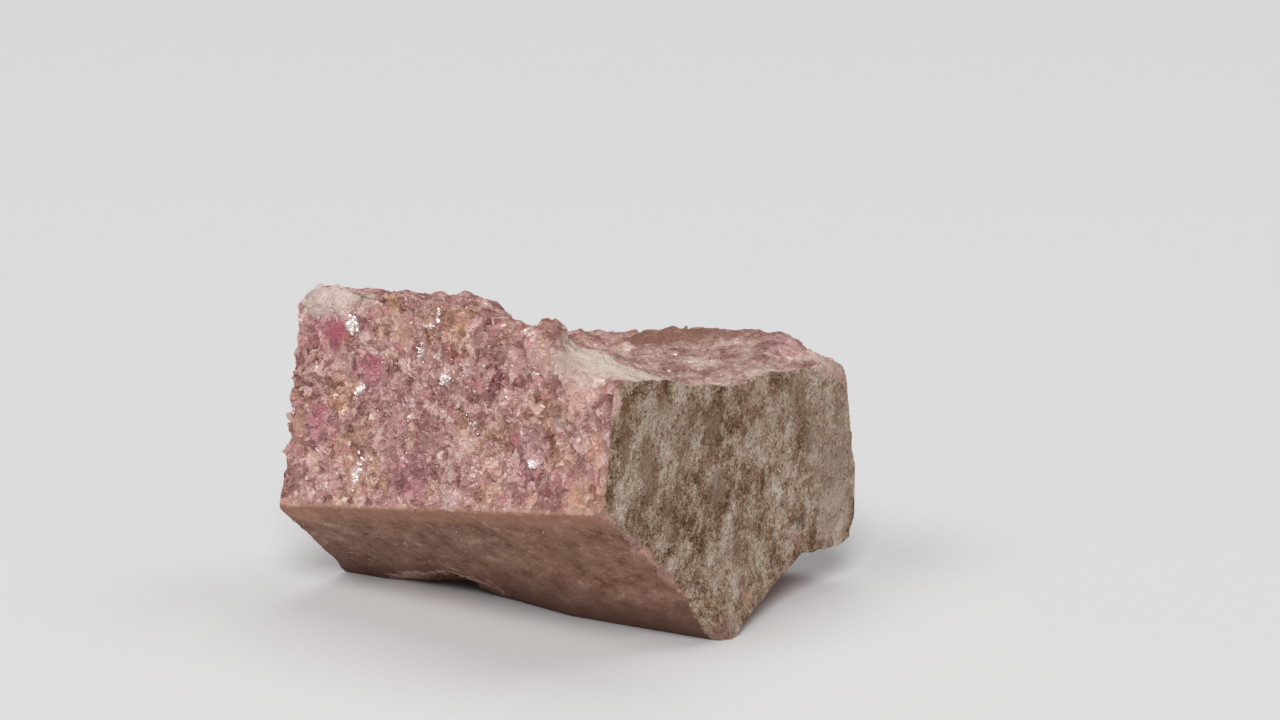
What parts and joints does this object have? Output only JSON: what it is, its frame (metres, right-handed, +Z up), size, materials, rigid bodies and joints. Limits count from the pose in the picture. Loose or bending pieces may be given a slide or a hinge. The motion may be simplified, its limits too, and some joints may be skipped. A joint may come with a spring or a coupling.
{
  "type": "pink rock specimen",
  "caption": "Broken block of pink, sugary granular rock with a saddle in its top, brown joint faces and an undercut front, resting on its rough underside.",
  "frame": {"origin": "centre of the bounding box at the level that the rock rests on", "axes": "+Z up, +X along the rock's length towards the grey-brown joint face, -Y towards the pink front face and the undercut"},
  "size_m": [0.0812, 0.0574, 0.046],
  "materials": {
    "pink_rock": "rough broken stone, sugary pink on the fresh breaks and matte beige-brown on the joint faces"
  },
  "bodies": {
    "root": {"rock": "pink_rock"}
  },
  "joints": []
}
